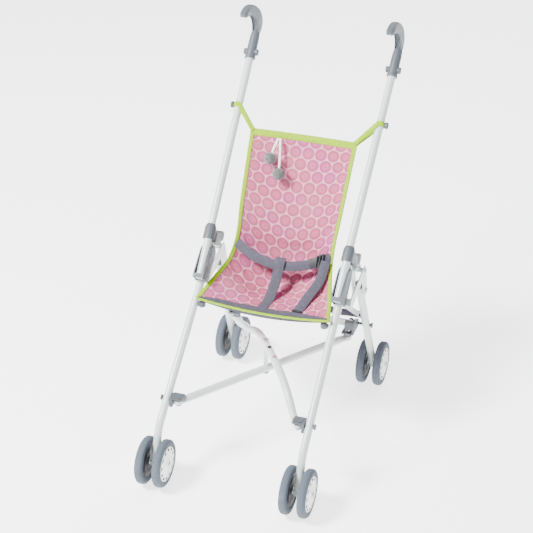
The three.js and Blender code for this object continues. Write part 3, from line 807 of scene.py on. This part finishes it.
def along_line(corners, t):
    places = [2 * corners[0] - corners[1], *corners, 2 * corners[-1] - corners[-2]]
    spot = min(max(t, 0.0), 1.0) * (len(corners) - 1)
    i = min(int(spot), len(corners) - 2)
    return catmull(places[i : i + 4], spot - i)


def on_sling(across, up):
    edge = along_line(SLING_EDGE, up)
    centre = along_line(SLING_MIDDLE, up)
    share = across * across
    return Vector(
        (
            across * edge.x,
            centre.y + (edge.y - centre.y) * share,
            centre.z + (edge.z - centre.z) * share,
        )
    )


def fold_depth(across, up):
    """How far the cloth's small folds lift it, in millimetres."""
    rim = min((1 - abs(across)) / 0.18, up / 0.06, (1 - up) / 0.05, 1.0)
    seat = max(0.0, 1 - abs(up - 0.36) / 0.34)
    wave = noise.noise(Vector((across * 2.6, up * 9.0, 1.7))) * 1.6
    crease = noise.noise(Vector((across * 7.0 + up * 6.0, up * 17.0, 4.2))) * 1.1
    pulled = math.sin(across * 9 + up * 40) * 0.25
    return rim * ((wave + crease) * (0.3 + 1.5 * seat) + pulled * (0.4 + seat))


def make_sling():
    vertices, faces, uvs = [], [], []
    lengths = [0.0]
    for j in range(1, UP_STEPS + 1):
        step = on_sling(0, j / UP_STEPS) - on_sling(0, (j - 1) / UP_STEPS)
        lengths.append(lengths[-1] + step.length)
    for j in range(UP_STEPS + 1):
        up = j / UP_STEPS
        for i in range(ACROSS_STEPS + 1):
            across = 2 * i / ACROSS_STEPS - 1
            point = on_sling(across, up)
            side = on_sling(across + 0.01, up) - on_sling(across - 0.01, up)
            rise = on_sling(across, min(up + 0.01, 1)) - on_sling(across, max(up - 0.01, 0))
            normal = side.cross(rise).normalized()
            vertices.append(at(point + normal * fold_depth(across, up)))
            uvs.append((point.x * MM, lengths[j] * MM))
    row = ACROSS_STEPS + 1
    for j in range(UP_STEPS):
        for i in range(ACROSS_STEPS):
            a = j * row + i
            faces.append((a, a + 1, a + row + 1, a + row))
    sling = new_object("sling_cloth", vertices, faces, uvs)
    settle(sling)
    return sling


def settle(sling):
    """Lets the cloth sag between its sewn edges."""
    row = ACROSS_STEPS + 1
    pins = sling.vertex_groups.new(name="sewn")
    edge = [
        j * row + i
        for j in range(UP_STEPS + 1)
        for i in range(row)
        if i in (0, 1, row - 2, row - 1) or j in (0, UP_STEPS)
    ]
    pins.add(edge, 1.0, "REPLACE")
    start = [v.co.copy() for v in sling.data.vertices]
    cloth = sling.modifiers.new("cloth", "CLOTH")
    cloth.settings.vertex_group_mass = "sewn"
    cloth.settings.quality = 6
    cloth.settings.mass = 0.15
    cloth.settings.tension_stiffness = 25
    cloth.settings.compression_stiffness = 25
    cloth.settings.shear_stiffness = 8
    cloth.settings.bending_stiffness = 0.4
    cloth.settings.shrink_min = -0.012
    cloth.settings.air_damping = 4
    scene = bpy.context.scene
    scene.frame_start = 1
    scene.frame_end = SETTLE_STEPS
    cloth.point_cache.frame_start = 1
    cloth.point_cache.frame_end = SETTLE_STEPS
    for step in range(1, SETTLE_STEPS + 1):
        scene.frame_set(step)
    settled = sling.evaluated_get(bpy.context.evaluated_depsgraph_get())
    ends = [v.co.copy() for v in settled.data.vertices]
    sling.modifiers.clear()
    scene.frame_set(1)
    most = MOST_SAG * MM
    for vertex, before, after in zip(sling.data.vertices, start, ends):
        move = after - before
        if move.z > 0:
            move.z *= RISE_KEPT
        if move.length > most:
            move = move.normalized() * most
        vertex.co = before + move
    sling.data.update()


class Surface:
    """Places on the settled cloth, by across from -1 to 1 and up from 0 to 1."""

    def __init__(self, sling):
        self.points = [v.co.copy() for v in sling.data.vertices]

    def place(self, across, up, lift=0.0):
        row = ACROSS_STEPS + 1
        i = min(max((across + 1) / 2, 0), 1) * ACROSS_STEPS
        j = min(max(up, 0), 1) * UP_STEPS
        i0, j0 = min(int(i), ACROSS_STEPS - 1), min(int(j), UP_STEPS - 1)
        a, b = self.points[j0 * row + i0], self.points[j0 * row + i0 + 1]
        c, d = self.points[(j0 + 1) * row + i0], self.points[(j0 + 1) * row + i0 + 1]
        low, high = a.lerp(b, i - i0), c.lerp(d, i - i0)
        normal = (b - a).cross(c - a).normalized()
        return low.lerp(high, j - j0) + normal * lift * MM

    def axes(self, across, up):
        side = self.place(min(across + 0.02, 1), up) - self.place(max(across - 0.02, -1), up)
        rise = self.place(across, min(up + 0.015, 1)) - self.place(across, max(up - 0.015, 0))
        normal = side.cross(rise).normalized()
        return side.normalized(), rise.normalized(), normal


def crumple(obj):
    """Gives the piece its own copy of its mesh."""
    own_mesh(obj)
    return obj


def sewn(obj, slot, *replaced):
    finish_piece(obj, "left_frame", slot, *replaced)
    return crumple(obj)


def add_binding(surface):
    """Lime tape folded over the sling's edges, with its row of stitches."""
    def along_edge(start, end, steps):
        return [
            (start[0] + (end[0] - start[0]) * i / steps, start[1] + (end[1] - start[1]) * i / steps)
            for i in range(steps + 1)
        ]

    runs = (
        ("right_binding", (1, 0), (1, 1), 110, 6.0, 2.6),
        ("left_binding", (-1, 0), (-1, 1), 110, 6.0, 2.6),
        ("top_binding", (-1, 1), (1, 1), 70, 10.0, 2.8),
        ("front_binding", (-1, 0), (1, 0), 80, 5.0, 3.2),
    )
    pieces = []
    for name, start, end, steps, width, thick in runs:
        points, sides, scales, stitches = [], [], [], []
        for k, (across, up) in enumerate(along_edge(start, end, steps)):
            side, rise, normal = surface.axes(across, up)
            inward = -side * across if start[0] == end[0] else rise * (1 - 2 * up)
            pucker = noise.noise(Vector((k * 0.45, width, 0.3)))
            offset = inward * (width / 2 - 1.2) + normal * pucker * 0.3
            points.append(surface.place(across, up) + offset * MM)
            sides.append(inward)
            scales.append((1 + 0.05 * pucker, 1 + 0.16 * noise.noise(Vector((k * 0.8, 2.0, width)))))
            stitches.append((points[-1] + inward * (width / 2 - 1.3) * MM, inward, normal))
        outline = [(a * MM, b * MM) for a, b in rounded(width, thick, thick * 0.42, 3)]
        tape = smooth(sweep(name, points, outline, sides, scales, mm=False), 60)
        sewn(tape, "lime_binding")
        pieces.append(tape)
        pieces.append(sewn(add_stitches(name + "_stitches", stitches, thick), "lime_binding"))
    return pieces


def add_stitches(name, places, thick):
    """Short threads, one for every two places, lying along the tape on its upper face."""
    vertices, faces = [], []
    for (spot, _, normal), (following, _, _) in zip(places[::2], places[1::2]):
        run = (following - spot) * 0.42
        side = run.cross(normal).normalized() * 0.28 * MM
        centre = spot + normal * thick * 0.48 * MM
        for end in (-1, 1):
            for a, b in ((-1, 0), (0, 1), (1, 0), (0, -1)):
                vertices.append(centre + run * end + side * a * 0.9 + normal * b * 0.34 * MM)
        n = len(vertices) - 8
        faces += [(n + i, n + (i + 1) % 4, n + 4 + (i + 1) % 4, n + 4 + i) for i in range(4)]
        faces += [(n + 3, n + 2, n + 1, n), (n + 4, n + 5, n + 6, n + 7)]
    return smooth(facing_out(new_object(name, vertices, faces)), 60)


def patch(name, place, across_steps, up_steps, width, length, thick):
    """A thin sheet laid over place(a, b), with a and b from 0 to 1."""
    vertices, uvs, faces = [], [], []
    row = across_steps + 1
    for j in range(up_steps + 1):
        for i in range(row):
            a, b = i / across_steps, j / up_steps
            vertices.append(place(a, b))
            uvs.append((a * width * MM, b * length * MM))
    for j in range(up_steps):
        for i in range(across_steps):
            k = j * row + i
            faces.append((k, k + 1, k + row + 1, k + row))
    made = new_object(name, vertices, faces, uvs)
    modifier = made.modifiers.new("thickness", "SOLIDIFY")
    modifier.thickness = thick * MM
    modifier.offset = 1
    return smooth(made, 60)


def add_sling():
    sling = make_sling()
    surface = Surface(sling)
    modifier = sling.modifiers.new("thickness", "SOLIDIFY")
    modifier.thickness = 0.9 * MM
    modifier.offset = 0
    smooth(sling, 80)
    sewn(sling, "pink_print", "seat_sling")
    binding = add_binding(surface)

    def hem(a, b):
        across = 2 * a - 1
        depth = 0.012 + 0.085 * (1 - across * across)
        return surface.place(across * 0.975, b * depth + 0.004, 1.7)

    band = patch("front_hem_band", hem, 60, 6, 190, 18, 0.5)
    sewn(band, "grey_webbing")

    def lip(a, b):
        across = 2 * a - 1
        edge = surface.place(across, 0)
        drop = (1.5 + 5.5 * (1 - across * across)) * b
        return edge + Vector((0, 0.4 + drop * 0.35, -1.0 - drop)) * MM

    under = patch("front_lip", lip, 60, 3, 190, 8, 0.6)
    sewn(under, "grey_webbing")
    return surface


# ---------- harness ----------
WEB = 14.0
BELT_LEAN = Vector((0, 0.51, 0.86))  # up the belt's width
BELT_OUT = Vector((0, -0.86, 0.51))  # away from the backrest
BELT_Y, BELT_Z = 60.0, 240.0  # the middle of the belt


def on_belt(share, lift=0.0, up=0.0):
    """A point of the lap belt, with share from 0 at its left end to 1 at its right end."""
    end = on_sling(0.96, 0.56)
    side = (2 * share - 1) ** 2
    x = (2 * share - 1) * end.x
    y = BELT_Y + (end.y - 2.6 - BELT_Y) * side
    z = BELT_Z + (end.z + 1.5 - BELT_Z) * side
    twist = noise.noise(Vector((share * 4.0, 0.6, 0.2))) * 0.9
    return Vector((x, y, z)) + BELT_OUT * (lift + twist) + BELT_LEAN * up


def strap(name, points, sides, width=WEB, thick=1.3):
    outline = rounded(width, thick, thick * 0.45, 2)
    made = sweep(name, points, outline, sides)
    return smooth(made, 60)


def add_harness(surface):
    belt_points = [on_belt(i / 60) for i in range(61)]
    belt = strap("lap_belt", belt_points, [BELT_LEAN] * 61)
    sewn(belt, "grey_webbing", "harness")
    crotch_corners = [
        Vector(p)
        for p in (
            (0.5, 66.5, 249), (0, 62.0, 248.6), (-0.3, 57.3, 243), (-0.8, 54.0, 234),
            (-2, 44, 219.5),
        )
    ]
    for across, up, lift in ((-0.05, 0.21, 1.6), (-0.065, 0.13, 1.0), (-0.075, 0.05, 0.4)):
        crotch_corners.append(drawn(surface.place(across, up, lift)))
    crotch_points = curve_through(crotch_corners, 60)
    crotch = strap("crotch_strap", crotch_points, [Vector((1, 0.02, 0))] * 61, WEB + 1)
    sewn(crotch, "grey_webbing")
    tail_corners = [on_belt(0.97, 5, -4), Vector((63, 46, 234)), Vector((54.5, 24, 220.5))]
    for across, up, lift in ((0.5, 0.115, 2.0), (0.475, 0.085, 1.8)):
        tail_corners.append(drawn(surface.place(across, up, lift)))
    tail_points = curve_through(tail_corners, 48)
    side = Vector((1, 0.25, 0.1)).normalized()
    tail = strap("belt_tail_strap", tail_points, [side] * 49)
    sewn(tail, "grey_webbing", "belt_tail")
    turned_end = [p + Vector((0, -0.3, 1.5)) for p in tail_points[-9:]]
    doubled = strap("belt_tail_hem", turned_end, [side] * 9, WEB + 0.6, 1.6)
    sewn(doubled, "dark_plastic")
    pad_points = [on_belt(share, 1.6) for share in (0.80, 0.83, 0.86, 0.885)]
    pad = strap("belt_end_pad", pad_points, [BELT_LEAN] * 4, WEB + 0.8, 1.4)
    sewn(pad, "dark_plastic")


def add_buckle():
    """A slider: a frame round the belt with a bar across its middle."""
    share = 0.9
    centre = on_belt(share, 2.6)
    run = (on_belt(share + 0.01) - on_belt(share - 0.01)).normalized()
    parts = []
    for offset, length in ((-4.6, 19), (0, 17), (4.6, 19)):
        middle_at = centre + run * offset
        ends = [middle_at - BELT_LEAN * length / 2, middle_at + BELT_LEAN * length / 2]
        parts.append(sweep("bar", ends, rounded(1.9, 2.8, 0.7), run))
    for end in (-1, 1):
        middle_at = centre + BELT_LEAN * end * 8.8
        ends = [middle_at - run * 5.4, middle_at + run * 5.4]
        parts.append(sweep("rail", ends, rounded(1.9, 2.8, 0.7), BELT_LEAN))
    buckle = joined("slider_buckle", parts)
    smooth(buckle, 40)
    sewn(buckle, "dark_plastic", "buckle")


def add_top_loop(hand, sign):
    """A strap from the sling's corner, round the tube and back, with its outer stud."""
    axis = (on_handle(1, 0) - on_handle(0, 0)).normalized()
    square = (on_handle(0, 1, 0) - on_handle(0, 0, 0)).normalized()
    tube = on_handle(263, 0)
    corner = Vector((75.5, 162.5, 394.5))
    reach = TUBE_RADIUS + 1.5
    arc = []
    for step in range(13):
        a = math.radians(-100 + 200 * step / 12)
        arc.append(tube + Vector((math.cos(a) * reach, 0, 0)) + square * math.sin(a) * reach)
    lead_in = [(corner - square * 1.8).lerp(arc[0], t) for t in (0, 0.3, 0.6, 0.85)]
    lead_out = [arc[-1].lerp(corner + square * 1.8, t) for t in (0.15, 0.4, 0.7, 1)]
    route = [handed(p, sign) for p in [*lead_in, *arc, *lead_out]]
    loop = strap(hand + "_top_strap", route, [handed(axis, sign)] * len(route), 6.8, 1.3)
    finish_piece(loop, hand + "_frame", "lime_binding", hand + "_top_loop")
    stud_at = handed(tube + Vector((reach + 0.4, 0, 0)), sign)
    profile = [(0, 4.2), (0.8, 4.7), (3.4, 4.7), (4.2, 4.1), (4.4, 2.2), (3.4, 1.9), (3.4, 0.3)]
    stud = smooth(turned(hand + "_loop_stud", profile, stud_at, Vector((sign, 0, 0)), 28), 32)
    finish_piece(stud, hand + "_frame", "grey_plastic")


BAND_HALF = 98.5  # half the length of the band between the rear legs


def add_rear_band():
    """A flat band that goes across from the left rear leg to the right one."""
    points = [
        Vector((-BAND_HALF + 2 * BAND_HALF * i / 40, 143.6 + 0.8 * math.sin(i * 0.7), 130))
        for i in range(41)
    ]
    band = strap("rear_pull_band", points, [Vector((0, 0, 1))] * 41, 12, 1.2)
    finish_piece(band, "left_rear_leg", "grey_webbing", "rear_band")
    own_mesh(band)


# ---------- pompoms ----------
HAIRS = 1400
HAIR_HALF = 0.11  # half a hair's width at its root
GOLDEN_ANGLE = 2.399963


def add_pompom(name, seed):
    """A lumpy felt ball and the short hairs that stand out from it."""
    low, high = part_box(name + "_pompom")
    centre = (low + high) / 2
    radius = (high.z - low.z) / 2
    bm = bmesh.new()
    bmesh.ops.create_icosphere(bm, subdivisions=4, radius=radius * 0.95)
    for vertex in bm.verts:
        way = vertex.co.normalized()
        lump = noise.noise(way * 3.1 + Vector((seed, 0, 0))) * 0.05
        tuft = noise.noise(way * 14 + Vector((0, seed, 0))) * 0.035
        vertex.co = vertex.co * (1 + lump + tuft) + centre
    mesh = bpy.data.meshes.new(name)
    bm.to_mesh(mesh)
    bm.free()
    ball = bpy.data.objects.new(name + "_felt_ball", mesh)
    bpy.context.scene.collection.objects.link(ball)
    finish_piece(smooth(ball, 80), "left_frame", "pompom_felt", name + "_pompom")
    vertices, faces = [], []
    for i in range(HAIRS):
        z = 1 - 2 * (i + 0.5) / HAIRS
        a = i * GOLDEN_ANGLE
        flat = math.sqrt(1 - z * z)
        way = Vector((flat * math.cos(a), flat * math.sin(a), z))
        lean = noise.noise_vector(way * 9 + Vector((seed, seed, 0))) * 0.7
        root = centre + way * radius * 0.93
        tip = root + (way + lean).normalized() * radius * 0.11
        side = way.cross(lean).normalized() * HAIR_HALF * MM
        n = len(vertices)
        vertices += [root - side, root + side, tip]
        faces.append((n, n + 1, n + 2))
    fuzz = new_object(name + "_fuzz", vertices, faces)
    finish_piece(fuzz, "left_frame", "pompom_felt")
    return ball, fuzz


def add_ribbon(name, step, pieces):
    """A flat ribbon that hangs from the top hem and ends inside its pompom."""
    low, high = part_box(name + "_pompom")
    centre = (low + high) / 2
    start = at((-34.4 + step, 157.8, 390))
    count = 20
    points = []
    for i in range(count + 1):
        t = i / count
        bow = math.sin(math.pi * t) * 0.0006
        points.append(start.lerp(centre, t * 0.99) + Vector((bow * (1 if step > 0 else -1), -bow, 0)))
    length = sum((b - a).length for a, b in zip(points, points[1:]))
    outline = [(a * MM, b * MM) for a, b in rounded(3.2, 0.5, 0.2, 2)]
    side = Vector((1, 0.1, 0)).normalized()
    ribbon = smooth(sweep(name + "_flat_ribbon", points, outline, side, mm=False), 60)
    finish_piece(ribbon, "left_frame", "ribbon_white", name + "_ribbon")
    [tuple(p) for p in points]


# ---------- assembly ----------
for name, step, seed in (("long", 1.6, 3.0), ("short", -1.6, 8.0)):
    add_ribbon(name, step, add_pompom(name, seed))

for hand, sign in HANDS:
    add_side_tubes(hand, sign)
    add_handle(hand, sign)
    add_top_loop(hand, sign)
    refined(hand + "_hinge_cap", "grey_plastic", 1.4, 4)
    refined(hand + "_hinge_channel", "grey_plastic", 0.35)
    refined(hand + "_rear_arm", "white_paint", 0.3)
    refined(hand + "_rear_leg_cap", "grey_plastic", 0.9, 3)
    refined(hand + "_stay", "bare_steel", 0.25)
    refined(hand + "_front_bracket", "grey_plastic", 0.9, 3)
    refined(hand + "_rear_bracket", "grey_plastic", 0.9, 3)
    refined(hand + "_front_clip", "grey_plastic", 0.8, 3)
    refined(hand + "_brace", "white_paint", 0.5)
    for end in ENDS:
        add_axle(hand, end)
        add_wheel(f"{hand}_{end}_outer", sign)
        add_wheel(f"{hand}_{end}_inner", -sign)

refined("centre_rivet", "bare_steel", 0.4)
add_cross_tubes()
add_harness(add_sling())
add_buckle()
add_rear_band()


# ---------- floor and light ----------
def add_studio():
    bm = bmesh.new()
    bmesh.ops.create_grid(bm, x_segments=2, y_segments=2, size=14)
    mesh = bpy.data.meshes.new("floor")
    bm.to_mesh(mesh)
    bm.free()
    floor = bpy.data.objects.new("floor", mesh)
    bpy.context.scene.collection.objects.link(floor)
    floor.location.z = -0.0005
    s = Shading("pale floor", (0.93, 0.93, 0.93), 0.9)
    tint = s.mix(s.noise(3, 2), (0.92, 0.92, 0.92), (0.94, 0.94, 0.94))
    s.shader.inputs["Emission Color"].default_value = (1, 1, 1, 1)
    floor.data.materials.append(s.finish(tint, Emission_Strength=2.4))

    world = bpy.data.worlds.new("studio")
    bpy.context.scene.world = world
    world.use_nodes = True
    world.node_tree.nodes["Background"].inputs["Color"].default_value = (1, 1, 1, 1)
    world.node_tree.nodes["Background"].inputs["Strength"].default_value = 0.6

    for name, place, size, power in (
        ("key", Vector((-1.3, -1.2, 2.2)), 0.7, 225),
        ("fill", Vector((1.8, -1.0, 1.3)), 1.6, 10),
        ("back", Vector((0.2, 1.8, 1.9)), 1.6, 30),
    ):
        data = bpy.data.lights.new(name, "AREA")
        data.size = size
        data.energy = power
        light = bpy.data.objects.new(name, data)
        way = Vector((0, 0, 0.25)) - place
        turn = way.to_track_quat("-Z", "Y").to_matrix().to_4x4()
        light.matrix_world = Matrix.Translation(place) @ turn
        bpy.context.scene.collection.objects.link(light)


add_studio()
